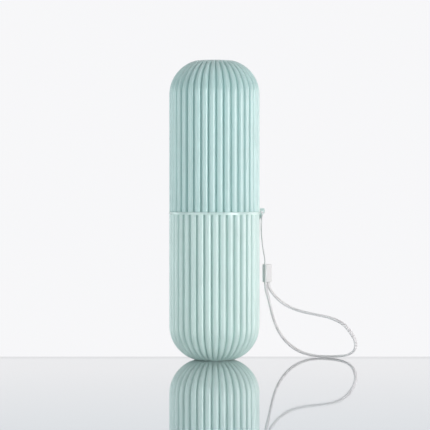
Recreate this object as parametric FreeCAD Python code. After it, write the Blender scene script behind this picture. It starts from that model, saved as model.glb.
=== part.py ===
"""Toothbrush travel case: two ribbed cups that push together, with a wrist lanyard.

Sizes are in millimetres. The origin is the centre of the foot, +Z runs up the axis of the
case, and +X points through the lug that holds the lanyard.
"""

import FreeCAD, Part
import math
import os

Vector = FreeCAD.Vector

# Case, over both cups
CASE_DIAMETER = 62.0  # over the rib crests
CASE_HEIGHT = 205.0
LOWER_CUP_HEIGHT = 101.6  # from the foot to the seam
END_ARC_RADIUS = 24.0  # rounding of the rib crests towards the ends
END_FLAT_DIAMETER = 26.0  # flat foot, and the same flat on top
END_SMOOTH_WIDTH = 3.75  # plain ring between the flat and the ends of the ribs
END_PROUD = 0.1  # how far that ring stands past the rib crests
RIB_COUNT = 36
RIB_DEPTH_SHARE = 0.37  # of a rib's width, from its crest to the groove
WALL = 3.2  # from a rib crest to the bore
END_WALL = 2.4

# Rim of the lower cup and the lug on it
BAND_HEIGHT = 1.8
BAND_PROUD = 0.2  # past the rib crests
RIM_CHAMFER = 0.35
LUG_REACH = 3.6  # past the rib crests
LUG_WIDTH = 2.4
LUG_RISE = 2.3  # above the seam, beside the lid
LUG_DROP = 8.4  # from the seam down to its foot
LUG_TIP_HEIGHT = 2.8
LUG_ROUNDING = 0.8
LUG_CLEARANCE = 0.4  # between the lug and the lid's rib crests
EYELET_DIAMETER = 1.8
EYELET_EDGE = 0.9  # material left between the eyelet and the lug's tip
EYELET_DROP = 0.6  # from the seam down to the eyelet's centre

# Mouth of the upper cup
LID_TURN_ANGLE = -4.3  # degrees that its ribs stand off those below
LEAD_IN = 0.6

# Coupling sleeve
SLEEVE_SEAT_DEPTH = 12.0  # how far it reaches into the lower cup
SLEEVE_SEAT_STEP = 0.4  # step in the lower cup's bore that carries it
SLEEVE_WALL = 1.9
SPIGOT_HEIGHT = 14.0
SEAT_CLEARANCE = 0.03
SPIGOT_CLEARANCE = 0.1

# Grip ring and its groove
GROOVE_HEIGHT = 5.5  # from the seam to the groove's lower side
GROOVE_WIDTH = 2.6
GROOVE_DEPTH = 0.9
RING_CHAMFER = 0.25
RING_SIDE_CLEARANCE = 0.1
RING_CLEARANCE = 0.05

# Lanyard
STRING_DIAMETER = 0.9
STRAP_WIDTH = 2.4
STRAP_THICKNESS = 1.2
FERRULE_WIDTH = 5.8
FERRULE_THICKNESS = 3.8
FERRULE_HEIGHT = 12.3
FERRULE_ROUNDING = 0.7
FERRULE_TURN_ANGLE = 37.5  # degrees about Z
PEG_DIAMETER = 1.0
PEG_LENGTH = 0.9
PEG_CLEARANCE = 0.05
PEG_SPACING = 7.0

# Routes of the lanyard, from the clip and back to it
STRING_ROUTE = [
    (34.75, 0.5, 65.5),
    (34.75, 0.5, 69),
    (33.5, 0.85, 75),
    (32.6, 1.2, 82),
    (32.15, 1.6, 89.5),
    (32.35, 2, 96.5),
    (32.8, 2.2, 101),
    (32.8, -2.2, 101),
    (32.35, -2, 96.5),
    (32.15, -1.6, 89.5),
    (32.6, -1.2, 82),
    (33.5, -0.85, 75),
    (34.75, -0.5, 69),
    (34.75, -0.5, 65.5),
]
STRAP_ROUTE = [
    (35.2, -0.5, 53.2),
    (35.2, -0.5, 50.7),
    (35.8, 1.2, 46.8),
    (37.5, 5.4, 41.4),
    (39.2, 10.3, 34.8),
    (41.7, 14.6, 25.7),
    (45.5, 17, 17.2),
    (50.6, 18.2, 10.6),
    (56, 18.2, 6),
    (63.2, 17, 2.4),
    (71.3, 15.6, 0.75),
    (80.9, 12, 0.75),
    (89, 5.4, 1.7),
    (93.9, -2.5, 4),
    (95.8, -11, 7.6),
    (95.9, -17, 12.4),
    (94, -19.6, 16.6),
    (91.4, -19.4, 20.8),
    (87.9, -17.3, 25),
    (82.7, -13.6, 28),
    (77, -9.6, 29.8),
    (69.7, -5.6, 31.1),
    (61.9, -0.6, 32.4),
    (53.9, 2.8, 34.8),
    (48.4, 3.8, 37.6),
    (43.5, 2.9, 41.6),
    (40.2, 1.6, 45.4),
    (38.4, 0.9, 48.2),
    (37.2, 0.85, 50.7),
    (37.2, 0.85, 53.2),
]
ARC_SHARE = 0.45  # of the shorter run beside a corner, taken up by the corner's arc

OVERRUN = 5.0  # how far a cut reaches past the face that it opens
SEW_TOLERANCE = 0.001

# Worked out from the sizes above
CASE_RADIUS = CASE_DIAMETER / 2
BORE_RADIUS = CASE_RADIUS - WALL
SEAM_Z = LOWER_CUP_HEIGHT
LID_HEIGHT = CASE_HEIGHT - LOWER_CUP_HEIGHT
ARC_CENTRE_RADIUS = CASE_RADIUS - END_ARC_RADIUS
CAP_ARC_RADIUS = END_ARC_RADIUS + END_PROUD
ARC_Z = math.sqrt(CAP_ARC_RADIUS**2 - (END_FLAT_DIAMETER / 2 - ARC_CENTRE_RADIUS) ** 2)
HALF_PITCH = math.pi / RIB_COUNT
RIB_WIDTH = HALF_PITCH * CASE_DIAMETER
RIB_DEPTH = RIB_DEPTH_SHARE * RIB_WIDTH
MOUTH_RADIUS = BORE_RADIUS + SLEEVE_SEAT_STEP
SLEEVE_FOOT_Z = SEAM_Z - SLEEVE_SEAT_DEPTH
SPIGOT_RADIUS = BORE_RADIUS - SPIGOT_CLEARANCE
GROOVE_Z = SEAM_Z + GROOVE_HEIGHT


def save(shape, node):
    """Write one node, a single valid solid, and say how large it is."""
    if not shape.isValid() or len(shape.Solids) != 1:
        raise ValueError(node + " is not one valid solid")
    shape.exportStep("parts/" + node + ".step")
    print(node, "volume", round(shape.Volume, 1), "faces", len(shape.Faces))


def revolved(edges):
    """The solid that a closed outline in the XZ plane sweeps round the Z axis."""
    face = Part.Face(Part.Wire(Part.__sortEdges__(edges)))
    return face.revolve(Vector(0, 0, 0), Vector(0, 0, 1), 360)


def closed_lines(points):
    """The edges of a closed polygon through (x, z) points in the XZ plane."""
    corners = [Vector(x, 0, z) for x, z in points]
    pairs = zip(corners, corners[1:] + corners[:1])
    return [Part.makeLine(start, end) for start, end in pairs]


def rib_root():
    """Where a rib meets its neighbour: the distance from the axis towards the crest, and half its width."""
    root_radius = CASE_RADIUS - RIB_DEPTH
    return root_radius * math.cos(HALF_PITCH), root_radius * math.sin(HALF_PITCH)


def rib_radius():
    """The radius of the arc through a rib's crest and the two groove bottoms beside it."""
    depth, half_width = CASE_RADIUS - rib_root()[0], rib_root()[1]
    return (depth**2 + half_width**2) / (2 * depth)


def rib_arc(reach):
    """A rib's outer arc at the height where the rounded end starts, spanning an angle to each side."""
    radius = rib_radius()
    centre = CASE_RADIUS - radius
    points = []
    for angle in (-reach, 0, reach):
        points.append(Vector(centre + radius * math.cos(angle), radius * math.sin(angle), ARC_Z))
    return Part.Arc(*points).toShape()


def end_point(arc_radius, angle):
    """The point on an end arc of the given radius, at an angle down from the level of its centre."""
    x = ARC_CENTRE_RADIUS + arc_radius * math.cos(angle)
    return Vector(x, 0, ARC_Z - arc_radius * math.sin(angle))


def end_arc(arc_radius, start, end):
    """The stretch of an end arc between two such angles."""
    angles = (start, (start + end) / 2, end)
    return Part.Arc(*[end_point(arc_radius, angle) for angle in angles]).toShape()


def end_core():
    """The plain round body that the rib ends stand on, with the smooth ring and the flat of the foot."""
    flat_angle = math.asin(ARC_Z / CAP_ARC_RADIUS)
    ring_edge = end_point(CAP_ARC_RADIUS, flat_angle).x + END_SMOOTH_WIDTH
    ring_angle = math.acos((ring_edge - ARC_CENTRE_RADIUS) / CAP_ARC_RADIUS)
    fill_radius = END_ARC_RADIUS - (RIB_DEPTH + rib_radius()) / 2
    fill_angle = math.acos((ring_edge - ARC_CENTRE_RADIUS) / fill_radius)
    axis_foot = Vector(0, 0, 0)
    axis_top = Vector(0, 0, ARC_Z)
    edges = [
        Part.makeLine(axis_foot, end_point(CAP_ARC_RADIUS, flat_angle)),
        end_arc(CAP_ARC_RADIUS, flat_angle, ring_angle),
        Part.makeLine(end_point(CAP_ARC_RADIUS, ring_angle), end_point(fill_radius, fill_angle)),
        end_arc(fill_radius, fill_angle, 0),
        Part.makeLine(end_point(fill_radius, 0), axis_top),
        Part.makeLine(axis_top, axis_foot),
    ]
    return revolved(edges)


def end_patch():
    """The outer faces of one rib's share of the rounded end, with its share of the flat foot."""
    arc = rib_arc(math.pi / 2)
    chord = Part.makeLine(arc.lastVertex().Point, arc.firstVertex().Point)
    section = Part.Face(Part.Wire([arc, chord]))
    bend = section.revolve(Vector(ARC_CENTRE_RADIUS, 0, ARC_Z), Vector(0, 1, 0), 90)
    side = CASE_RADIUS + OVERRUN
    half_width = side * math.tan(HALF_PITCH)
    corners = [Vector(0, 0, 0), Vector(side, -half_width, 0), Vector(side, half_width, 0), Vector(0, 0, 0)]
    sector = Part.Face(Part.makePolygon(corners)).extrude(Vector(0, 0, ARC_Z))
    wedge = bend.fuse(end_core()).common(sector)
    faces = []
    for face in wedge.Faces:
        middle = face.CenterOfMass
        off_side = middle.x * math.sin(HALF_PITCH) - abs(middle.y) * math.cos(HALF_PITCH)
        if min(off_side, ARC_Z - middle.z) > SEW_TOLERANCE:
            faces.append(face)
    return faces


def straight_patch(top):
    """The outer face of one rib along the straight side, up to the given height."""
    root_depth, half_width = rib_root()
    reach = math.atan2(half_width, root_depth - CASE_RADIUS + rib_radius())
    return rib_arc(reach).extrude(Vector(0, 0, top - ARC_Z))


def level_face(faces, height):
    """The flat face whose outline is the edges of the given faces at one height."""
    edges = []
    for face in faces:
        for edge in face.Edges:
            if all(abs(vertex.Z - height) < SEW_TOLERANCE for vertex in edge.Vertexes):
                edges.append(edge)
    return Part.Face(Part.Wire(Part.__sortEdges__(edges)))


def ribbed_blank(top):
    """A solid ribbed cup blank that stands on its flat foot and ends level at the given height."""
    one_end = end_patch()
    one_side = [straight_patch(top)]
    ends = []
    sides = []
    for index in range(RIB_COUNT):
        for source, turned in ((one_end, ends), (one_side, sides)):
            for face in source:
                copy = face.copy()
                copy.rotate(Vector(0, 0, 0), Vector(0, 0, 1), index * 360 / RIB_COUNT)
                turned.append(copy)
    shell = Part.Shell(ends + sides + [level_face(sides, top)])
    shell.sewShape(SEW_TOLERANCE)
    return Part.Solid(shell).removeSplitter()


def bore_blank(mouth):
    """The space inside a cup that stands on its foot, out past its mouth at the given height."""
    arc_radius = END_ARC_RADIUS - WALL
    arc_z = END_WALL + arc_radius
    diagonal = arc_radius * math.sqrt(0.5)
    floor_edge = Vector(ARC_CENTRE_RADIUS, 0, END_WALL)
    arc_middle = Vector(ARC_CENTRE_RADIUS + diagonal, 0, arc_z - diagonal)
    wall_foot = Vector(BORE_RADIUS, 0, arc_z)
    wall_top = Vector(BORE_RADIUS, 0, mouth + OVERRUN)
    axis_top = Vector(0, 0, mouth + OVERRUN)
    axis_foot = Vector(0, 0, END_WALL)
    edges = [
        Part.makeLine(axis_foot, floor_edge),
        Part.Arc(floor_edge, arc_middle, wall_foot).toShape(),
        Part.makeLine(wall_foot, wall_top),
        Part.makeLine(wall_top, axis_top),
        Part.makeLine(axis_top, axis_foot),
    ]
    return revolved(edges)


def rim_band():
    """The plain band at the lower cup's rim, as a disc with a chamfered upper edge."""
    radius = CASE_RADIUS + BAND_PROUD
    foot = SEAM_Z - BAND_HEIGHT
    outline = [
        (0, foot),
        (radius, foot),
        (radius, SEAM_Z - RIM_CHAMFER),
        (radius - RIM_CHAMFER, SEAM_Z),
        (0, SEAM_Z),
    ]
    return revolved(closed_lines(outline))


def lug():
    """The lug on the rim, which tapers down into the ribs and rises a little beside the lid, with its eyelet."""
    tip = CASE_RADIUS + LUG_REACH
    beside_lid = CASE_RADIUS + LUG_CLEARANCE
    top = SEAM_Z + LUG_RISE
    foot = SEAM_Z - LUG_DROP
    outline = [
        (MOUTH_RADIUS, SEAM_Z),
        (beside_lid, SEAM_Z),
        (beside_lid, top),
        (tip, top),
        (tip, top - LUG_TIP_HEIGHT),
        (CASE_RADIUS - RIB_DEPTH, foot),
        (MOUTH_RADIUS, foot),
    ]
    plate = Part.Face(Part.Wire(closed_lines(outline))).extrude(Vector(0, LUG_WIDTH, 0))
    plate.translate(Vector(0, -LUG_WIDTH / 2, 0))
    tip_edges = [
        edge
        for edge in plate.Edges
        if all(abs(vertex.X - tip) < SEW_TOLERANCE for vertex in edge.Vertexes)
        and abs(edge.Vertexes[0].Z - edge.Vertexes[1].Z) < SEW_TOLERANCE
    ]
    plate = plate.makeFillet(LUG_ROUNDING, tip_edges)
    eyelet_x = tip - EYELET_EDGE - EYELET_DIAMETER / 2
    start = Vector(eyelet_x, -LUG_WIDTH, SEAM_Z - EYELET_DROP)
    eyelet = Part.makeCylinder(EYELET_DIAMETER / 2, 2 * LUG_WIDTH, start, Vector(0, 1, 0))
    return plate.cut(eyelet)


def lower_cup():
    """The lower ribbed cup, with the plain rim, the lug and the seat for the sleeve."""
    blank = ribbed_blank(SEAM_Z - BAND_HEIGHT)
    seat = Part.makeCylinder(MOUTH_RADIUS, SLEEVE_SEAT_DEPTH + OVERRUN, Vector(0, 0, SLEEVE_FOOT_Z))
    return blank.fuse([rim_band(), lug()]).cut([bore_blank(SEAM_Z), seat])


def upper_cup():
    """The upper ribbed cup, mouth down on the seam, with a lead-in at its mouth."""
    lead_in = [
        (0, LID_HEIGHT - LEAD_IN),
        (BORE_RADIUS, LID_HEIGHT - LEAD_IN),
        (BORE_RADIUS + LEAD_IN, LID_HEIGHT),
        (0, LID_HEIGHT),
    ]
    standing = ribbed_blank(LID_HEIGHT).cut([bore_blank(LID_HEIGHT), revolved(closed_lines(lead_in))])
    cup = standing.mirror(Vector(0, 0, CASE_HEIGHT / 2), Vector(0, 0, 1))
    cup.rotate(Vector(0, 0, 0), Vector(0, 0, 1), LID_TURN_ANGLE)
    return cup


def coupling_sleeve():
    """The sleeve seated in the lower cup, whose upper part is the spigot for the lid."""
    seat_radius = MOUTH_RADIUS - SEAT_CLEARANCE
    inner_radius = SPIGOT_RADIUS - SLEEVE_WALL
    groove_radius = SPIGOT_RADIUS - GROOVE_DEPTH
    top = SEAM_Z + SPIGOT_HEIGHT
    outline = [
        (inner_radius, SLEEVE_FOOT_Z),
        (seat_radius, SLEEVE_FOOT_Z),
        (seat_radius, SEAM_Z),
        (SPIGOT_RADIUS, SEAM_Z),
        (SPIGOT_RADIUS, GROOVE_Z),
        (groove_radius, GROOVE_Z),
        (groove_radius, GROOVE_Z + GROOVE_WIDTH),
        (SPIGOT_RADIUS, GROOVE_Z + GROOVE_WIDTH),
        (SPIGOT_RADIUS, top - LEAD_IN),
        (SPIGOT_RADIUS - LEAD_IN, top),
        (inner_radius, top),
    ]
    return revolved(closed_lines(outline))


def grip_ring():
    """The soft ring in the spigot's groove."""
    inner = SPIGOT_RADIUS - GROOVE_DEPTH + RING_CLEARANCE
    outer = BORE_RADIUS - RING_CLEARANCE
    foot = GROOVE_Z + RING_SIDE_CLEARANCE
    top = GROOVE_Z + GROOVE_WIDTH - RING_SIDE_CLEARANCE
    outline = [
        (inner, foot),
        (outer - RING_CHAMFER, foot),
        (outer, foot + RING_CHAMFER),
        (outer, top - RING_CHAMFER),
        (outer - RING_CHAMFER, top),
        (inner, top),
    ]
    return revolved(closed_lines(outline))


def place_on_lanyard(shape):
    """Turn a clip half made at the origin and set its lower face on the strap's two ends."""
    shape.rotate(Vector(0, 0, 0), Vector(0, 0, 1), FERRULE_TURN_ANGLE)
    shape.translate((Vector(*STRAP_ROUTE[0]) + Vector(*STRAP_ROUTE[-1])) / 2)
    return shape


def clip_half(side):
    """One half of the clip, on the given side (-1 or 1) of its parting plane, with its outer edges rounded."""
    depth = FERRULE_THICKNESS / 2
    corner = Vector(-FERRULE_WIDTH / 2, min(0, side * depth), 0)
    half = Part.makeBox(FERRULE_WIDTH, depth, FERRULE_HEIGHT, corner)
    outer_edges = [
        edge
        for edge in half.Edges
        if all(abs(vertex.Y - side * depth) < SEW_TOLERANCE for vertex in edge.Vertexes)
    ]
    return half.makeFillet(FERRULE_ROUNDING, outer_edges)


def clip_pegs(diameter, length):
    """Two pegs, or the holes for them, that rise from the clip's parting plane."""
    middle = FERRULE_HEIGHT / 2
    pegs = []
    for height in (middle - PEG_SPACING / 2, middle + PEG_SPACING / 2):
        pegs.append(Part.makeCylinder(diameter / 2, length, Vector(0, 0, height), Vector(0, 1, 0)))
    return pegs


def ferrule_front():
    """The clip half nearer the front, with its two pegs."""
    return place_on_lanyard(clip_half(-1).fuse(clip_pegs(PEG_DIAMETER, PEG_LENGTH)))


def ferrule_back():
    """The clip half behind it, with the two holes for the pegs."""
    diameter = PEG_DIAMETER + 2 * PEG_CLEARANCE
    return place_on_lanyard(clip_half(1).cut(clip_pegs(diameter, PEG_LENGTH + PEG_CLEARANCE)))


def rounded_route(points, name):
    """A wire of straight runs and tangent arcs through a route's points, with the arcs' radii printed."""
    edges = []
    radii = []
    start = points[0]
    for before, corner, after in zip(points, points[1:], points[2:]):
        back = (before - corner).normalize()
        ahead = (after - corner).normalize()
        half_turn = (math.pi - back.getAngle(ahead)) / 2
        setback = ARC_SHARE * min((before - corner).Length, (after - corner).Length)
        radius = setback / math.tan(half_turn)
        arc_start = corner + back * setback
        arc_end = corner + ahead * setback
        inward = (back + ahead).normalize()
        arc_middle = corner + inward * (radius / math.cos(half_turn) - radius)
        edges.append(Part.makeLine(start, arc_start))
        edges.append(Part.Arc(arc_start, arc_middle, arc_end).toShape())
        radii.append(round(radius, 1))
        start = arc_end
    edges.append(Part.makeLine(start, points[-1]))
    print(name, "arc radii", radii)
    return Part.Wire(edges)


def swept(path, section, name):
    """The solid that a flat section sweeps along a route, with its volume set beside section times length."""
    solid = path.makePipeShell([section], True, False)
    expected = Part.Face(section).Area * path.Length
    print(name, "length", round(path.Length, 1), "volume over section times length", solid.Volume / expected)
    return solid


def string_loop():
    """The thin string, from the clip up through the eyelet and back down."""
    points = [Vector(*point) for point in STRING_ROUTE]
    path = rounded_route(points, "string_loop")
    section = Part.Wire(Part.makeCircle(STRING_DIAMETER / 2, points[0], points[1] - points[0]))
    return swept(path, section, "string_loop")


def wrist_strap():
    """The flat strap, one loop from the clip down to the table and back, with its width along Y at the start."""
    points = [Vector(*point) for point in STRAP_ROUTE]
    path = rounded_route(points, "wrist_strap")
    left, right = -STRAP_THICKNESS / 2, STRAP_THICKNESS / 2
    front, back = -STRAP_WIDTH / 2, STRAP_WIDTH / 2
    corners = [(left, front), (right, front), (right, back), (left, back), (left, front)]
    section = Part.makePolygon([points[0] + Vector(x, y, 0) for x, y in corners])
    return swept(path, section, "wrist_strap")


def main():
    os.makedirs("parts", exist_ok=True)
    makers = [
        lower_cup,
        upper_cup,
        coupling_sleeve,
        grip_ring,
        ferrule_front,
        ferrule_back,
        string_loop,
        wrist_strap,
    ]
    for maker in makers:
        save(maker(), maker.__name__)


main()
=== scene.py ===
"""Looks of a toothbrush travel case: two ribbed mint cups that push together, and a white wrist lanyard.

Lengths are in metres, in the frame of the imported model: the origin is the centre of the foot, +Z runs up
the axis of the case, and +X points through the lug that holds the lanyard.
"""

import math
from collections import namedtuple

import bmesh
import bpy
import numpy as np
from mathutils import Matrix, Vector


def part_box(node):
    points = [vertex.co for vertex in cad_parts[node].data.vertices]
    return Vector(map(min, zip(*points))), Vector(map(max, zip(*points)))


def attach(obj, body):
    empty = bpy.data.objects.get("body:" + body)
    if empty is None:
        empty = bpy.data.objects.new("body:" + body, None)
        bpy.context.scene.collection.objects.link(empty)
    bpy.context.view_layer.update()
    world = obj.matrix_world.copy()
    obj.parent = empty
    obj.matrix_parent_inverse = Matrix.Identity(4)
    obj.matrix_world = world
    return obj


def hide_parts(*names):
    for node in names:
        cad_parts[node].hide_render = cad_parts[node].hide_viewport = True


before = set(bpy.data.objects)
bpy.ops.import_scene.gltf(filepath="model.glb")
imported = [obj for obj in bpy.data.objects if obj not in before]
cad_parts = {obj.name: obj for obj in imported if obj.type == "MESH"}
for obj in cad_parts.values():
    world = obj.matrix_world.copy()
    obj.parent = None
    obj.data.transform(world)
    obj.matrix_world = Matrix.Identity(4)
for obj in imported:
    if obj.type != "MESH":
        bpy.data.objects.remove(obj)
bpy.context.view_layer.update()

# Case, over both cups
SEAM_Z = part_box("upper_cup")[0].z
TOP_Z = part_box("upper_cup")[1].z
CASE_RADIUS = 0.031  # over the rib crests
END_ARC_RADIUS = 0.0241
END_FLAT_RADIUS = 0.013
RIB_END_RADIUS = 0.0140  # the ribs rise from nothing here
RIB_WHOLE_RADIUS = 0.0175  # and have their whole depth from here on
RIB_COUNT = 36
RIB_DEPTH = 0.0022
GROOVE_ROUNDING = 0.00012
WALL = 0.0032
END_WALL = 0.0024
EDGE_ROUNDING = 0.00018

# Rim of the lower cup and the lug on it
BAND_HEIGHT = 0.0018
BAND_PROUD = 0.0002
RIM_ROUNDING = 0.00035
LUG_REACH = 0.0036
LUG_WIDTH = 0.0024
LUG_RISE = 0.0023  # above the seam, beside the lid
LUG_DROP = 0.0084  # from the seam down to its foot
LUG_TIP_HEIGHT = 0.0028
LUG_ROUNDING = 0.0008
LUG_CLEARANCE = 0.0004  # between the lug and the lid's rib crests
LUG_EDGE = 0.0003
EYELET_RADIUS = 0.0009
EYELET_EDGE = 0.0009
EYELET_DROP = 0.0006

# Mouth of the upper cup, the sleeve and the grip ring
LID_TURN = math.radians(-4.3)
LEAD_IN = 0.0006
SLEEVE_SEAT_DEPTH = 0.012
SLEEVE_SEAT_STEP = 0.0004
SLEEVE_WALL = 0.0019
SPIGOT_HEIGHT = 0.014
SEAT_CLEARANCE = 0.00003
SPIGOT_CLEARANCE = 0.0001
GROOVE_HEIGHT = 0.0055
GROOVE_WIDTH = 0.0026
GROOVE_DEPTH = 0.0009
RING_ROUNDING = 0.0003
RING_SIDE_CLEARANCE = 0.0001
RING_CLEARANCE = 0.00005

# Lanyard
STRING_DIAMETER = 0.0009
STRING_LAY = 0.0026  # length of one turn of its strands
STRAND_SHARE = 0.25  # a strand's radius, of the string's diameter
STRAP_WIDTH = 0.0026
STRAP_THICKNESS = 0.0015
STRAP_EDGE_POWER = 6  # the higher, the squarer the strap's section
WEAVE_PITCH = 0.001
WEAVE_RELIEF = 0.00003
WEAVE_EDGE_POWER = 8  # the higher, the nearer to the edge the weave fades
CORD_STEP = 0.0002  # between rings of points along string and strap
CLIP_WIDTH = 0.0058
CLIP_THICKNESS = 0.0038
CLIP_HEIGHT = 0.0123
CLIP_ROUNDING = 0.0006
CLIP_PARTING = 0.00012  # rounding of the edges where its halves meet
CLIP_TURN = math.radians(37.5)
TUCK = 0.001  # how far string and strap run on inside the clip

# Routes of the lanyard, from the clip and back to it
STRING_ROUTE = [
    (0.03475, 0.0005, 0.0655),
    (0.03475, 0.0005, 0.069),
    (0.0335, 0.00085, 0.075),
    (0.0326, 0.0012, 0.082),
    (0.03215, 0.0016, 0.0895),
    (0.03235, 0.002, 0.0965),
    (0.0328, 0.0022, 0.101),
    (0.0328, -0.0022, 0.101),
    (0.03235, -0.002, 0.0965),
    (0.03215, -0.0016, 0.0895),
    (0.0326, -0.0012, 0.082),
    (0.0335, -0.00085, 0.075),
    (0.03475, -0.0005, 0.069),
    (0.03475, -0.0005, 0.0655),
]
STRAP_ROUTE = [
    (0.0352, -0.0005, 0.0532),
    (0.0352, -0.0005, 0.0507),
    (0.0358, 0.0012, 0.0468),
    (0.0375, 0.0054, 0.0414),
    (0.0392, 0.0103, 0.0348),
    (0.0417, 0.0146, 0.0257),
    (0.0455, 0.017, 0.0172),
    (0.0506, 0.0182, 0.0106),
    (0.056, 0.0182, 0.006),
    (0.0632, 0.017, 0.0024),
    (0.0713, 0.0156, 0.0009),
    (0.0809, 0.012, 0.0009),
    (0.089, 0.0054, 0.0017),
    (0.0939, -0.0025, 0.004),
    (0.0958, -0.011, 0.0076),
    (0.0959, -0.017, 0.0124),
    (0.094, -0.0196, 0.0166),
    (0.0914, -0.0194, 0.0208),
    (0.0879, -0.0173, 0.025),
    (0.0827, -0.0136, 0.028),
    (0.077, -0.0096, 0.0298),
    (0.0697, -0.0056, 0.0311),
    (0.0619, -0.0006, 0.0324),
    (0.0539, 0.0028, 0.0348),
    (0.0484, 0.0038, 0.0376),
    (0.0435, 0.0029, 0.0416),
    (0.0402, 0.0016, 0.0454),
    (0.0384, 0.0009, 0.0482),
    (0.0372, 0.00085, 0.0507),
    (0.0372, 0.00085, 0.0532),
]
# Degrees that the strap's width is turned about its line, at shares of its length
STRAP_TWISTS = [
    (0, 40), (0.09, 12), (0.2, 10), (0.25, 20), (0.29, 19), (0.35, 1), (0.42, -10), (0.5, 0),
    (0.55, 22), (0.61, 36), (0.66, 38), (0.76, 55), (0.86, 54), (0.92, 45), (1, 28),
]

# Camera and studio
CAMERA_TURN = math.radians(-1.5)
CAMERA_DISTANCE = 1.4
CAMERA_HEIGHT = 0.1225
AIM_HEIGHT = 0.0993
AIM_RIGHT = 0.0004
CAMERA_LENS = 170.8  # millimetres
SENSOR_WIDTH = 36  # millimetres
TABLE_REACH = 3.0  # to each side and towards the camera
TABLE_EDGE = 0.0235  # behind the axis, where the table ends
TABLE_SHADE_REACH = 0.45  # from the axis towards the camera, where its tone has faded to the darkest of its painted shade
TABLE_MIRROR_SHARE = 0.85
TABLE_ROUGHNESS = 0.03
TABLE_PALE = (0.757, 0.762, 0.772, 1)
TABLE_NEAR_PAINTED_SHADE = (0.55, 0.62, 0.66, 1)
TABLE_RIM_PAINTED_SHADE = (0.54, 0.55, 0.56, 1)
# Its tones, at shares of the way from the end of that reach to the back edge: painted shade, darker and
# tinted towards the camera and in a strip along the back edge, pale between
TABLE_TONES_WITH_PAINTED_SHADE = [(0, TABLE_NEAR_PAINTED_SHADE), (0.8, TABLE_PALE), (0.95, TABLE_PALE), (0.976, TABLE_RIM_PAINTED_SHADE)]
# Lamps are turned about the case from the camera's side, in degrees. One that isn't mirrored lights the case
# without showing in anything glossy
Lamp = namedtuple("Lamp", "name turn distance height width tall power colour mirrored", defaults=[True])
LAMPS = [
    Lamp("key", 48, 1.0, 0.06, 0.5, 0.7, 8.6, (1.0, 1.0, 1.0)),
    Lamp("fill", -47, 1.0, 0.06, 0.85, 0.7, 5.3, (0.93, 1.0, 1.0)),
    Lamp("right_side", 115, 1.0, 0.06, 0.5, 0.7, 3.2, (1.0, 0.94, 0.91)),
    Lamp("left_side", -115, 1.0, 0.06, 0.5, 0.7, 2.5, (0.88, 0.98, 1.0)),
    Lamp("back", 180, 1.0, 0.66, 0.9, 0.5, 7.0, (1.0, 1.0, 1.0), mirrored=False),
    Lamp("overhead", 15, 0.3, 0.95, 1.2, 1.2, 3.1, (1.0, 0.97, 1.0)),
]
SEEN_LEVEL = 0.945  # of the surround, where it is seen
SEEN_TINT = (0.985, 0.985, 1.0, 1)
LIT_LEVEL = 0.04  # of its light on the case
FRONT_SHARE = 0.6  # of both levels, towards the camera
FRONT_FADE = (-0.4, 0.3)  # of a direction's Y, from that share to the whole
ABOVE_SHARE = 0.75  # of both levels, overhead
ABOVE_FADE = (0.3, 0.7)  # of a direction's Z, from the whole to that share

# Finishes: a colour, how rough it is, the size and depth of its fine grain, the level of its gloss, and how
# much light spreads below the surface and how deep
Finish = namedtuple("Finish", "colour roughness grain_size grain_depth gloss cloud_share cloud_depth")
LID_MINT = (0.515, 0.725, 0.705)
# The lower cup is the lid's plastic painted a paler mint: painted light on the lower cup, which the sleeve
# shares
LOWER_MINT_PAINTED_LIGHT = (0.60, 0.78, 0.745)
LID_PLASTIC = Finish(LID_MINT, 0.22, 0.00035, 0.000008, 0.8, 0, 0)
LOWER_PLASTIC_PAINTED_LIGHT = Finish(LOWER_MINT_PAINTED_LIGHT, 0.22, 0.00035, 0.000008, 0.8, 0, 0)
# The lug is the lower cup's plastic painted paler still: painted light
LUG_PLASTIC_PAINTED_LIGHT = Finish((0.68, 0.83, 0.80), 0.3, 0.00035, 0.000008, 0.5, 1, 0.003)
SLEEVE_PLASTIC = Finish(LOWER_MINT_PAINTED_LIGHT, 0.3, 0.0006, 0.000004, 0.5, 0, 0)
RING_SILICONE = Finish((0.80, 0.85, 0.84), 0.42, 0.0004, 0.000004, 0.5, 0.3, 0.001)
CLIP_PLASTIC = Finish((0.91, 0.89, 0.885), 0.38, 0.0004, 0.000006, 0.5, 1, 0.003)
STRING_NYLON = Finish((0.95, 0.945, 0.945), 0.72, 0.0002, 0.00001, 0.5, 0.9, 0.001)
STRAP_NYLON = Finish((0.79, 0.775, 0.785), 0.72, 0.00015, 0.000012, 0.5, 1, 0.002)
DRIFT_SCALE = 45.0  # patches of tone to the metre in plastic
DRIFT_TONES = [(0.3, 0.97), (0.7, 1.02)]  # shares of the colour, at places in the noise
ROUGHNESS_SPREAD = 0.05  # to each side, from the grain
FIBRE_SHADE_TONES = [(0.25, 0.86), (0.75, 1.0)]  # painted shade for the hollows between filaments: shares of the colour, at places in the noise
SHEEN = 0.25
SHEEN_ROUGHNESS = 0.4

# Worked out from the sizes above
BORE_RADIUS = CASE_RADIUS - WALL
MOUTH_RADIUS = BORE_RADIUS + SLEEVE_SEAT_STEP
SPIGOT_RADIUS = BORE_RADIUS - SPIGOT_CLEARANCE
SLEEVE_FOOT_Z = SEAM_Z - SLEEVE_SEAT_DEPTH
GROOVE_Z = SEAM_Z + GROOVE_HEIGHT
ARC_CENTRE_RADIUS = CASE_RADIUS - END_ARC_RADIUS
ARC_Z = math.sqrt(END_ARC_RADIUS**2 - (END_FLAT_RADIUS - ARC_CENTRE_RADIUS) ** 2)
HALF_PITCH = math.pi / RIB_COUNT
CLIP_FOOT = (np.array(STRAP_ROUTE[0]) + np.array(STRAP_ROUTE[-1])) / 2
LID_HEIGHT = TOP_Z - SEAM_Z

# A ring of points round a cup: the crests' distance from the axis, the height, the direction square to the
# surface there, and the share of the ribs' depth that it shows
Station = namedtuple("Station", "radius height out up rib_share")


# Meshes

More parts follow.
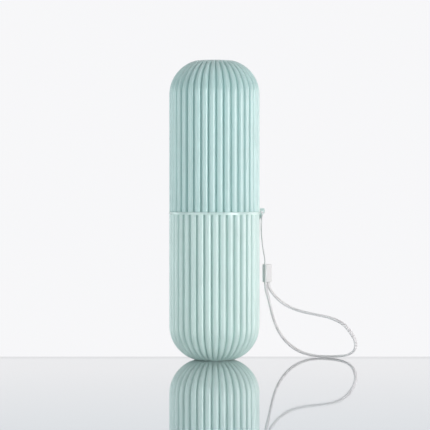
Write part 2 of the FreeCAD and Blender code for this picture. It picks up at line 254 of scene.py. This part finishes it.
def skin(name, rings, closed_along=False):
    """A mesh through rings of equally many points, closed round, and along or with a cap at each end."""
    count = len(rings[0])
    points = np.concatenate(rings)
    faces = []
    for ring in range(len(rings) - (0 if closed_along else 1)):
        low = ring * count
        high = (ring + 1) % len(rings) * count
        for column in range(count):
            after = (column + 1) % count
            faces.append((low + column, low + after, high + after, high + column))
    if not closed_along:
        centres = [np.mean(rings[0], axis=0), np.mean(rings[-1], axis=0)]
        first = len(points)
        last_ring = first - count
        points = np.concatenate([points, centres])
        for column in range(count):
            after = (column + 1) % count
            faces.append((first, after, column))
            faces.append((first + 1, last_ring + column, last_ring + after))
    return mesh_from(name, points, faces)


def mesh_from(name, points, faces):
    """A mesh whose faces all look outwards."""
    mesh = bpy.data.meshes.new(name)
    mesh.from_pydata([tuple(point) for point in points], [], faces)
    work = bmesh.new()
    work.from_mesh(mesh)
    bmesh.ops.recalc_face_normals(work, faces=work.faces)
    work.to_mesh(mesh)
    work.free()
    return mesh


def piece(name, mesh, material, body, slot, *nodes, sharp=50):
    """A smooth-shaded piece of the object that rides on a body in place of CAD nodes."""
    mesh.shade_smooth()
    mesh.set_sharp_from_angle(angle=math.radians(sharp))
    made = bpy.data.objects.new(name, mesh)
    bpy.context.scene.collection.objects.link(made)
    made.data.materials.clear()
    made.data.materials.append(material)
    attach(made, body)
    if nodes:
        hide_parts(*nodes)
    return made


def rounded(corners, closed=False, steps=4):
    """The points of an outline of (r, z, rounding) corners, each with a rounding eased round its corner."""
    places = [np.array(corner[:2]) for corner in corners]
    points = []
    for index, (place, corner) in enumerate(zip(places, corners)):
        ends = index in (0, len(corners) - 1) and not closed
        if ends or corner[2] == 0:
            points.append(place)
            continue
        back = places[index - 1] - place
        ahead = places[(index + 1) % len(places)] - place
        back = back / np.linalg.norm(back)
        ahead = ahead / np.linalg.norm(ahead)
        half = math.acos(float(np.clip(back @ ahead, -1, 1))) / 2
        setback = corner[2] / math.tan(half)
        for step in range(steps + 1):
            share = step / steps
            start = (1 - share) ** 2 * back
            end = share**2 * ahead
            points.append(place + setback * (start + end))
    return points


def turned(name, corners, columns=192):
    """A ring-shaped mesh turned about the Z axis from a closed outline."""
    angles = np.arange(columns) * 2 * math.pi / columns
    rings = []
    for radius, height in rounded(corners, closed=True):
        level = np.full(columns, height)
        rings.append(np.stack([radius * np.cos(angles), radius * np.sin(angles), level], axis=1))
    return skin(name, rings, closed_along=True)


# Cups

def rib_columns(steps=9):
    """Angles of the columns of one rib about its own middle, closer together towards the grooves."""
    half = [math.sin(math.pi / 2 * step / steps) for step in range(steps + 1)]
    shares = [-share for share in half[:0:-1]] + half[:-1]
    return HALF_PITCH * np.array(shares)


def rib_depths(radius):
    """How far each column of a rib lies under the crest, at a distance from the axis."""
    root = CASE_RADIUS - RIB_DEPTH
    rise = CASE_RADIUS - root * math.cos(HALF_PITCH)
    half_width = root * math.sin(HALF_PITCH)
    rib_radius = (rise**2 + half_width**2) / (2 * rise)
    edge = CASE_RADIUS * math.sin(HALF_PITCH)
    from_groove = edge - CASE_RADIUS * np.abs(np.sin(rib_columns()))
    across = np.clip(edge - np.sqrt(from_groove**2 + GROOVE_ROUNDING**2), 0, half_width)
    depths = rib_radius - np.sqrt(rib_radius**2 - across**2)
    return depths * radius / CASE_RADIUS


def station_ring(station, turn):
    """The points of one station, with the ribs turned about the axis."""
    depths = np.tile(rib_depths(station.radius) * station.rib_share, RIB_COUNT)
    middles = np.repeat(np.arange(RIB_COUNT) * 2 * HALF_PITCH, len(rib_columns()))
    angles = middles + np.tile(rib_columns(), RIB_COUNT) + turn
    radius = station.radius - station.out * depths
    height = station.height - station.up * depths
    return np.stack([radius * np.cos(angles), radius * np.sin(angles), height], axis=1)


def eased(value, low, high):
    """0 below low, 1 above high, and a smooth rise between them."""
    share = min(1, max(0, (value - low) / (high - low)))
    return share * share * (3 - 2 * share)


def end_stations(flat_steps=3, arc_steps=32):
    """From near the foot's centre out over the flat and up the rounded end."""
    stations = []
    for step in range(1, flat_steps + 1):
        stations.append(Station(END_FLAT_RADIUS * step / flat_steps, 0, 0, -1, 0))
    start = math.asin(ARC_Z / END_ARC_RADIUS)
    for step in range(1, arc_steps + 1):
        angle = start * (1 - step / arc_steps)
        radius = ARC_CENTRE_RADIUS + END_ARC_RADIUS * math.cos(angle)
        height = ARC_Z - END_ARC_RADIUS * math.sin(angle)
        rib_share = eased(radius, RIB_END_RADIUS, RIB_WHOLE_RADIUS)
        stations.append(Station(radius, height, math.cos(angle), -math.sin(angle), rib_share))
    return stations


def side_stations(top, steps=8):
    """Up the straight ribbed side to the given height."""
    rise = (top - ARC_Z) / steps
    return [Station(CASE_RADIUS, ARC_Z + rise * step, 1, 0, 1) for step in range(1, steps + 1)]


def plain_stations(corners):
    """Stations without ribs along a rounded outline."""
    return [Station(radius, height, 1, 0, 0) for radius, height in rounded(corners)]


def bore_stations(arc_steps=14):
    """Down the inside of a cup from its straight bore to near the middle of its floor."""
    arc_radius = END_ARC_RADIUS - WALL
    arc_z = END_WALL + arc_radius
    stations = []
    for step in range(arc_steps + 1):
        angle = math.pi / 2 * step / arc_steps
        radius = BORE_RADIUS - arc_radius * (1 - math.cos(angle))
        stations.append(Station(radius, arc_z - arc_radius * math.sin(angle), 1, 0, 0))
    stations.append(Station(stations[-1].radius / 2, END_WALL, 1, 0, 0))
    return stations


def lower_cup_mesh():
    """The lower cup: ribbed outside, plain band at the rim, and the sleeve's seat inside."""
    band = CASE_RADIUS + BAND_PROUD
    band_foot = SEAM_Z - BAND_HEIGHT
    rim = [
        (band, band_foot, 0),
        (band, SEAM_Z, RIM_ROUNDING),
        (MOUTH_RADIUS, SEAM_Z, EDGE_ROUNDING),
        (MOUTH_RADIUS, SLEEVE_FOOT_Z, 0),
        (BORE_RADIUS, SLEEVE_FOOT_Z, 0),
    ]
    stations = end_stations() + side_stations(band_foot) + plain_stations(rim) + bore_stations()
    return skin("lower_cup_shell", [station_ring(station, 0) for station in stations])


def upper_cup_mesh(rim_steps=4):
    """The upper cup, mouth down on the seam: ribbed outside, with a lead-in at its mouth."""
    stations = end_stations() + side_stations(LID_HEIGHT - RIM_ROUNDING)
    for step in range(1, rim_steps + 1):
        angle = math.pi / 2 * step / rim_steps
        radius = CASE_RADIUS - RIM_ROUNDING * (1 - math.cos(angle))
        height = LID_HEIGHT - RIM_ROUNDING * (1 - math.sin(angle))
        stations.append(Station(radius, height, 1, 0, 1))
    mouth = [(BORE_RADIUS + LEAD_IN, LID_HEIGHT, 0), (BORE_RADIUS, LID_HEIGHT - LEAD_IN, 0)]
    stations += plain_stations(mouth) + bore_stations()
    rings = []
    for station in stations:
        ring = station_ring(station, LID_TURN)
        ring[:, 2] = TOP_Z - ring[:, 2]
        rings.append(ring)
    return skin("upper_cup_shell", rings)


def lug_mesh(eyelet_steps=32):
    """The lug on the rim, a plate with an eyelet that tapers into the ribs and rises beside the lid."""
    tip = CASE_RADIUS + LUG_REACH
    root = CASE_RADIUS - RIB_DEPTH
    beside_lid = CASE_RADIUS + LUG_CLEARANCE
    top = SEAM_Z + LUG_RISE
    corners = [
        (root, SEAM_Z - LUG_DROP, 0),
        (root, SEAM_Z - RIM_ROUNDING, 0),
        (beside_lid, SEAM_Z - RIM_ROUNDING, 0),
        (beside_lid, top, 0),
        (tip, top, LUG_ROUNDING),
        (tip, top - LUG_TIP_HEIGHT, LUG_ROUNDING),
    ]
    outline = rounded(corners, closed=True, steps=8)
    eyelet = []
    for step in range(eyelet_steps):
        angle = 2 * math.pi * step / eyelet_steps
        x = tip - EYELET_EDGE - EYELET_RADIUS + EYELET_RADIUS * math.cos(angle)
        eyelet.append((x, SEAM_Z - EYELET_DROP + EYELET_RADIUS * math.sin(angle)))
    curve = bpy.data.curves.new("lug_outline", "CURVE")
    curve.dimensions = "2D"
    curve.fill_mode = "BOTH"
    curve.extrude = LUG_WIDTH / 2 - LUG_EDGE
    curve.bevel_depth = LUG_EDGE
    curve.bevel_resolution = 3
    curve.offset = -LUG_EDGE
    for loop in (outline, eyelet):
        spline = curve.splines.new("POLY")
        spline.points.add(len(loop) - 1)
        for point, (x, z) in zip(spline.points, loop):
            point.co = (x, z, 0, 1)
        spline.use_cyclic_u = True
    holder = bpy.data.objects.new("lug_outline", curve)
    mesh = bpy.data.meshes.new_from_object(holder)
    bpy.data.objects.remove(holder)
    mesh.transform(Matrix.Rotation(math.pi / 2, 4, "X"))
    return mesh


# Sleeve and ring

def sleeve_mesh():
    """The sleeve seated in the lower cup, whose upper part is the spigot with the ring's groove."""
    inner = SPIGOT_RADIUS - SLEEVE_WALL
    seat = MOUTH_RADIUS - SEAT_CLEARANCE
    groove = SPIGOT_RADIUS - GROOVE_DEPTH
    top = SEAM_Z + SPIGOT_HEIGHT
    corners = [
        (inner, SLEEVE_FOOT_Z, EDGE_ROUNDING),
        (seat, SLEEVE_FOOT_Z, EDGE_ROUNDING),
        (seat, SEAM_Z, EDGE_ROUNDING),
        (SPIGOT_RADIUS, SEAM_Z, EDGE_ROUNDING / 2),
        (SPIGOT_RADIUS, GROOVE_Z, EDGE_ROUNDING),
        (groove, GROOVE_Z, EDGE_ROUNDING),
        (groove, GROOVE_Z + GROOVE_WIDTH, EDGE_ROUNDING),
        (SPIGOT_RADIUS, GROOVE_Z + GROOVE_WIDTH, EDGE_ROUNDING),
        (SPIGOT_RADIUS, top - LEAD_IN, EDGE_ROUNDING),
        (SPIGOT_RADIUS - LEAD_IN, top, EDGE_ROUNDING),
        (inner, top, RIM_ROUNDING),
    ]
    return turned("coupling_sleeve_shell", corners)


def ring_mesh():
    """The soft ring in the spigot's groove."""
    inner = SPIGOT_RADIUS - GROOVE_DEPTH + RING_CLEARANCE
    outer = BORE_RADIUS - RING_CLEARANCE
    foot = GROOVE_Z + RING_SIDE_CLEARANCE
    top = GROOVE_Z + GROOVE_WIDTH - RING_SIDE_CLEARANCE
    corners = [
        (inner, foot, EDGE_ROUNDING),
        (outer, foot, RING_ROUNDING),
        (outer, top, RING_ROUNDING),
        (inner, top, EDGE_ROUNDING),
    ]
    return turned("grip_ring_band", corners)


# Lanyard

def route_line(name, route):
    """Points along the smooth curve that a cord's route steers."""
    curve = bpy.data.curves.new(name, "CURVE")
    curve.dimensions = "3D"
    spline = curve.splines.new("NURBS")
    spline.points.add(len(route) - 1)
    for point, place in zip(spline.points, route):
        point.co = (*place, 1)
    spline.order_u = 3
    spline.use_endpoint_u = True
    spline.resolution_u = 48
    holder = bpy.data.objects.new(name, curve)
    mesh = bpy.data.meshes.new_from_object(holder)
    bpy.data.objects.remove(holder)
    return np.array([vertex.co[:] for vertex in mesh.vertices])


def evenly(line):
    """Points at an even spacing along a line, with its ends, and their distances along it."""
    runs = np.linalg.norm(np.diff(line, axis=0), axis=1)
    along = np.concatenate([[0], np.cumsum(runs)])
    places = np.linspace(0, along[-1], max(2, round(along[-1] / CORD_STEP) + 1))
    return np.stack([np.interp(places, along, line[:, axis]) for axis in range(3)], axis=1), places


def tucked(line):
    """The line with its two ends run on straight into the clip."""
    start = line[0] - TUCK * (line[1] - line[0]) / np.linalg.norm(line[1] - line[0])
    end = line[-1] + TUCK * (line[-1] - line[-2]) / np.linalg.norm(line[-1] - line[-2])
    return np.concatenate([[start], line, [end]])


def directions(line):
    """Unit vectors along a line at its points."""
    ahead = np.gradient(line, axis=0)
    return ahead / np.linalg.norm(ahead, axis=1, keepdims=True)


def string_mesh(line, strands=3, sides=8):
    """Strands twisted round the string's line."""
    points, along = evenly(line)
    ahead = directions(points)
    side = np.cross(ahead, np.array([1.0, 0.0, 0.0]))
    side = side / np.linalg.norm(side, axis=1, keepdims=True)
    across = np.cross(ahead, side)
    strand_radius = STRAND_SHARE * STRING_DIAMETER
    offset = STRING_DIAMETER / 2 - strand_radius
    meshes = []
    for strand in range(strands):
        twist = 2 * math.pi * (along / STRING_LAY + strand / strands)
        centre = points + offset * (np.cos(twist)[:, None] * side + np.sin(twist)[:, None] * across)
        rings = []
        for index, middle in enumerate(centre):
            angles = np.arange(sides) * 2 * math.pi / sides + twist[index]
            spokes = np.cos(angles)[:, None] * side[index] + np.sin(angles)[:, None] * across[index]
            rings.append(middle + strand_radius * spokes)
        meshes.append(skin("strand", rings))
    return joined("string_loop_strands", meshes)


def joined(name, meshes):
    """One mesh of several."""
    work = bmesh.new()
    for mesh in meshes:
        work.from_mesh(mesh)
    whole = bpy.data.meshes.new(name)
    work.to_mesh(whole)
    work.free()
    return whole


def strap_sides(points, along):
    """The direction of the strap's width at each point, carried along its line and turned as it twists."""
    ahead = directions(points)
    side = np.array([0.0, 1.0, 0.0])
    shares, degrees = zip(*STRAP_TWISTS)
    twists = np.radians(np.interp(along / along[-1], shares, degrees))
    sides = []
    for forward, twist in zip(ahead, twists):
        side = side - (side @ forward) * forward
        side = side / np.linalg.norm(side)
        sides.append(math.cos(twist) * side + math.sin(twist) * np.cross(forward, side))
    return np.array(sides)


def strap_mesh(line, warps=7, per_warp=4):
    """The flat woven strap: warp threads side by side that pass over and under along its line."""
    points, along = evenly(line)
    wide = strap_sides(points, along)
    thick = np.cross(directions(points), wide)
    count = warps * per_warp
    rings = []
    for index, middle in enumerate(points):
        ring = []
        for side in (1, -1):
            for column in range(count + 1):
                share = side * (1 - 2 * column / count)
                warp = min(warps - 1, int((share + 1) / 2 * warps))
                bulge = abs(math.sin(math.pi * warps * (share + 1) / 2))
                over = math.cos(2 * math.pi * along[index] / WEAVE_PITCH + math.pi * warp)
                height = STRAP_THICKNESS / 2 * math.sqrt(1 - abs(share) ** STRAP_EDGE_POWER)
                fade = 1 - share**WEAVE_EDGE_POWER
                height += WEAVE_RELIEF * (bulge * (1 + side * over) - 1) * fade
                ring.append(middle + share * STRAP_WIDTH / 2 * wide[index] + side * height * thick[index])
        rings.append(np.array(ring))
    return skin("wrist_strap_weave", rings)


def clip_half_mesh(name, side):
    """One half of the clip, on the given side (-1 or 1) of its parting plane."""
    depth = CLIP_THICKNESS / 2
    work = bmesh.new()
    bmesh.ops.create_cube(work, size=1)
    bmesh.ops.scale(work, vec=(CLIP_WIDTH, depth, CLIP_HEIGHT), verts=work.verts)
    bmesh.ops.translate(work, vec=(0, side * depth / 2, CLIP_HEIGHT / 2), verts=work.verts)

    def parting(edge):
        return all(abs(vertex.co.y) < CLIP_PARTING / 2 for vertex in edge.verts)

    outer = [edge for edge in work.edges if not parting(edge)]
    bmesh.ops.bevel(work, geom=outer, offset=CLIP_ROUNDING, segments=5, profile=0.5, affect="EDGES")
    inner = [edge for edge in work.edges if parting(edge)]
    bmesh.ops.bevel(work, geom=inner, offset=CLIP_PARTING, segments=2, profile=0.5, affect="EDGES")
    bmesh.ops.recalc_face_normals(work, faces=work.faces)
    mesh = bpy.data.meshes.new(name)
    work.to_mesh(mesh)
    work.free()
    place = Matrix.Translation(CLIP_FOOT) @ Matrix.Rotation(CLIP_TURN, 4, "Z")
    mesh.transform(place)
    return mesh


# Materials

def new_material(name):
    """A material with its Principled shader, and the shader's node tree."""
    material = bpy.data.materials.new(name)
    material.use_nodes = True
    return material, material.node_tree


def node(tree, kind, **inputs):
    """A node with the given values on its inputs."""
    made = tree.nodes.new(kind)
    for name, value in inputs.items():
        made.inputs[name.replace("_", " ")].default_value = value
    return made


def two_tones(tree, pattern, colour, tones):
    """Colours the shader by a noise pattern, between two shares of a colour at two places in the noise."""
    ramp = tree.nodes.new("ShaderNodeValToRGB")
    for element, (position, share) in zip(ramp.color_ramp.elements, tones):
        element.position = position
        element.color = (*[min(1, share * channel) for channel in colour], 1)
    tree.links.new(pattern.outputs["Fac"], ramp.inputs["Fac"])
    tree.links.new(ramp.outputs["Color"], tree.nodes["Principled BSDF"].inputs["Base Color"])


def raised(tree, pattern, depth):
    """Raises the surface by a noise pattern."""
    bump = node(tree, "ShaderNodeBump", Strength=1.0, Distance=depth)
    tree.links.new(pattern.outputs["Fac"], bump.inputs["Height"])
    tree.links.new(bump.outputs["Normal"], tree.nodes["Principled BSDF"].inputs["Normal"])


def let_light_in(tree, finish):
    """Makes a material cloudy, with light that spreads below its surface."""
    shader = tree.nodes["Principled BSDF"]
    shader.inputs["Subsurface Weight"].default_value = finish.cloud_share
    shader.inputs["Subsurface Radius"].default_value = (1, 1, 1)
    shader.inputs["Subsurface Scale"].default_value = finish.cloud_depth


def moulded_plastic(name, finish):
    """Moulded plastic: a slight drift of colour, and a fine grain in gloss and surface."""
    material, tree = new_material(name)
    shader = tree.nodes["Principled BSDF"]
    place = node(tree, "ShaderNodeTexCoord").outputs["Object"]
    drift = node(tree, "ShaderNodeTexNoise", Scale=DRIFT_SCALE, Detail=3.0, Roughness=0.55)
    tree.links.new(place, drift.inputs["Vector"])
    two_tones(tree, drift, finish.colour, DRIFT_TONES)
    grain = node(tree, "ShaderNodeTexNoise", Scale=1 / finish.grain_size, Detail=2.0, Roughness=0.6)
    tree.links.new(place, grain.inputs["Vector"])
    smoothest = finish.roughness - ROUGHNESS_SPREAD
    roughest = finish.roughness + ROUGHNESS_SPREAD
    rough = node(tree, "ShaderNodeMapRange", To_Min=smoothest, To_Max=roughest)
    tree.links.new(grain.outputs["Fac"], rough.inputs["Value"])
    tree.links.new(rough.outputs["Result"], shader.inputs["Roughness"])
    raised(tree, grain, finish.grain_depth)
    shader.inputs["Specular IOR Level"].default_value = finish.gloss
    if finish.cloud_share:
        let_light_in(tree, finish)
    return material


def spun_nylon(name, finish):
    """Nylon yarn: fine filaments, a soft sheen, painted shade for the hollows between them, and light let
    in.
    """
    material, tree = new_material(name)
    shader = tree.nodes["Principled BSDF"]
    place = node(tree, "ShaderNodeTexCoord").outputs["Object"]
    fibres = node(tree, "ShaderNodeTexNoise", Scale=1 / finish.grain_size, Detail=4.0, Roughness=0.7)
    tree.links.new(place, fibres.inputs["Vector"])
    two_tones(tree, fibres, finish.colour, FIBRE_SHADE_TONES)
    raised(tree, fibres, finish.grain_depth)
    shader.inputs["Roughness"].default_value = finish.roughness
    shader.inputs["Specular IOR Level"].default_value = finish.gloss
    shader.inputs["Sheen Weight"].default_value = SHEEN
    shader.inputs["Sheen Roughness"].default_value = SHEEN_ROUGHNESS
    let_light_in(tree, finish)
    return material


# Pieces

def build_case():
    """The two cups, the lug, the sleeve and its ring."""
    lid = moulded_plastic("mint_lid_plastic", LID_PLASTIC)
    # The lower cup's paler mint is painted light
    lower = moulded_plastic("mint_lower_plastic", LOWER_PLASTIC_PAINTED_LIGHT)
    # The lug's paler mint is painted light
    lug = moulded_plastic("mint_lug_plastic", LUG_PLASTIC_PAINTED_LIGHT)
    sleeve = moulded_plastic("mint_sleeve_plastic", SLEEVE_PLASTIC)
    silicone = moulded_plastic("ring_silicone", RING_SILICONE)
    piece("lower_cup_shell", lower_cup_mesh(), lower, "base", "cup_plastic", "lower_cup")
    piece("lanyard_lug", lug_mesh(), lug, "base", "cup_plastic", "lower_cup")
    piece("upper_cup_shell", upper_cup_mesh(), lid, "lid", "cup_plastic", "upper_cup")
    piece("coupling_sleeve_shell", sleeve_mesh(), sleeve, "base", "sleeve_plastic", "coupling_sleeve")
    piece("grip_ring_band", ring_mesh(), silicone, "ring", "ring_silicone", "grip_ring")


def build_lanyard():
    """String, clip and strap."""
    string_white = spun_nylon("string_nylon", STRING_NYLON)
    strap_white = spun_nylon("strap_nylon", STRAP_NYLON)
    clip_white = moulded_plastic("clip_plastic", CLIP_PLASTIC)
    for node_name, side in (("ferrule_front", -1), ("ferrule_back", 1)):
        mesh = clip_half_mesh(node_name + "_moulding", side)
        piece(mesh.name, mesh, clip_white, "base", "ferrule_plastic", node_name)

    string_line = tucked(route_line("string_route", STRING_ROUTE))
    string = piece(
        "string_loop_strands", string_mesh(string_line), string_white, "base", "string_cord", "string_loop"
    )

    strap_line = tucked(route_line("strap_route", STRAP_ROUTE))
    strap = piece(
        "wrist_strap_weave", strap_mesh(strap_line), strap_white, "base", "strap_webbing", "wrist_strap"
    )


# Studio

def build_table():
    """A glossy white table top that ends just behind the case, with painted shade that darkens it towards
    the camera and along its back edge.
    """
    mesh = bpy.data.meshes.new("table")
    near_corners = [(-TABLE_REACH, -TABLE_REACH, 0), (TABLE_REACH, -TABLE_REACH, 0)]
    corners = near_corners + [(TABLE_REACH, TABLE_EDGE, 0), (-TABLE_REACH, TABLE_EDGE, 0)]
    mesh.from_pydata(corners, [], [(0, 1, 2, 3)])
    table = bpy.data.objects.new("table", mesh)
    table.rotation_euler.z = CAMERA_TURN
    bpy.context.scene.collection.objects.link(table)
    material, tree = new_material("table_gloss")
    shader = tree.nodes["Principled BSDF"]
    place = tree.nodes.new("ShaderNodeSeparateXYZ")
    tree.links.new(node(tree, "ShaderNodeTexCoord").outputs["Object"], place.inputs[0])
    depth = node(tree, "ShaderNodeMapRange", From_Min=-TABLE_SHADE_REACH, From_Max=TABLE_EDGE)
    tree.links.new(place.outputs["Y"], depth.inputs["Value"])
    # The ramp paints shade on the table: darker towards the camera and in a strip along its back edge
    tones = tree.nodes.new("ShaderNodeValToRGB")
    while len(tones.color_ramp.elements) < len(TABLE_TONES_WITH_PAINTED_SHADE):
        tones.color_ramp.elements.new(1)
    for element, (position, colour) in zip(tones.color_ramp.elements, TABLE_TONES_WITH_PAINTED_SHADE):
        element.position = position
        element.color = colour
    tree.links.new(depth.outputs["Result"], tones.inputs["Fac"])
    tree.links.new(tones.outputs["Color"], shader.inputs["Base Color"])
    shader.inputs["Metallic"].default_value = TABLE_MIRROR_SHARE
    shader.inputs["Roughness"].default_value = TABLE_ROUGHNESS
    mesh.materials.append(material)


def reckon(tree, operation, first, second):
    """The result of a sum of two numbers, each a value or the output of a node."""
    made = tree.nodes.new("ShaderNodeMath")
    made.operation = operation
    for socket, number in zip(made.inputs, (first, second)):
        if isinstance(number, (int, float)):
            socket.default_value = number
        else:
            tree.links.new(number, socket)
    return made.outputs[0]


def faded(tree, value, limits, first, last):
    """A number that goes from first to last as a node's output goes from one limit to the other."""
    low, high = limits
    made = node(tree, "ShaderNodeMapRange", From_Min=low, From_Max=high, To_Min=first, To_Max=last)
    tree.links.new(value, made.inputs["Value"])
    return made.outputs["Result"]


def build_world():
    """A soft surround, brightest behind the case, and white all round where it is seen directly."""
    world = bpy.data.worlds.new("studio")
    bpy.context.scene.world = world
    world.use_nodes = True
    tree = world.node_tree
    direction = tree.nodes.new("ShaderNodeSeparateXYZ")
    tree.links.new(node(tree, "ShaderNodeTexCoord").outputs["Generated"], direction.inputs[0])
    behind = faded(tree, direction.outputs["Y"], FRONT_FADE, FRONT_SHARE, 1.0)
    above = faded(tree, direction.outputs["Z"], ABOVE_FADE, 1.0, ABOVE_SHARE)
    share = reckon(tree, "MULTIPLY", behind, above)
    path = tree.nodes.new("ShaderNodeLightPath")
    lit = tree.nodes["Background"]
    lit.inputs["Color"].default_value = (1.0, 1.0, 1.0, 1)
    tree.links.new(reckon(tree, "MULTIPLY", share, LIT_LEVEL), lit.inputs["Strength"])
    seen = node(tree, "ShaderNodeBackground", Color=SEEN_TINT)
    whole = reckon(tree, "MAXIMUM", share, path.outputs["Is Camera Ray"])
    tree.links.new(reckon(tree, "MULTIPLY", whole, SEEN_LEVEL), seen.inputs["Strength"])
    shown = path.outputs["Is Camera Ray"]
    for ray in ("Is Glossy Ray", "Is Transmission Ray"):
        shown = reckon(tree, "MAXIMUM", shown, path.outputs[ray])
    mix = tree.nodes.new("ShaderNodeMixShader")
    tree.links.new(shown, mix.inputs[0])
    tree.links.new(lit.outputs[0], mix.inputs[1])
    tree.links.new(seen.outputs[0], mix.inputs[2])
    tree.links.new(mix.outputs[0], tree.nodes["World Output"].inputs["Surface"])


def build_lights():
    """Soft light panels round the case, looking at its middle."""
    for lamp in LAMPS:
        data = bpy.data.lights.new(lamp.name, "AREA")
        data.shape = "RECTANGLE"
        data.size = lamp.width
        data.size_y = lamp.tall
        data.energy = lamp.power
        data.color = lamp.colour
        light = bpy.data.objects.new(lamp.name, data)
        angle = CAMERA_TURN + math.radians(lamp.turn)
        light.location = (lamp.distance * math.sin(angle), -lamp.distance * math.cos(angle), lamp.height)
        aim = Vector((0, 0, SEAM_Z)) - light.location
        light.visible_glossy = lamp.mirrored
        light.rotation_mode = "QUATERNION"
        light.rotation_quaternion = aim.to_track_quat("-Z", "Y")
        bpy.context.scene.collection.objects.link(light)


def build_camera():
    """The camera, where the photograph was taken from."""
    data = bpy.data.cameras.new("camera")
    data.sensor_width = SENSOR_WIDTH
    data.lens = CAMERA_LENS
    camera = bpy.data.objects.new("camera", data)
    right = Vector((math.cos(CAMERA_TURN), math.sin(CAMERA_TURN), 0))
    back = Vector((math.sin(CAMERA_TURN), -math.cos(CAMERA_TURN), 0))
    target = AIM_RIGHT * right + Vector((0, 0, AIM_HEIGHT))
    camera.location = CAMERA_DISTANCE * back + Vector((0, 0, CAMERA_HEIGHT))
    camera.rotation_mode = "QUATERNION"
    camera.rotation_quaternion = (target - camera.location).to_track_quat("-Z", "Y")
    bpy.context.scene.collection.objects.link(camera)
    bpy.context.scene.camera = camera


build_case()
build_lanyard()
build_table()
build_world()
build_lights()
build_camera()
bpy.context.scene.view_settings.view_transform = "Standard"
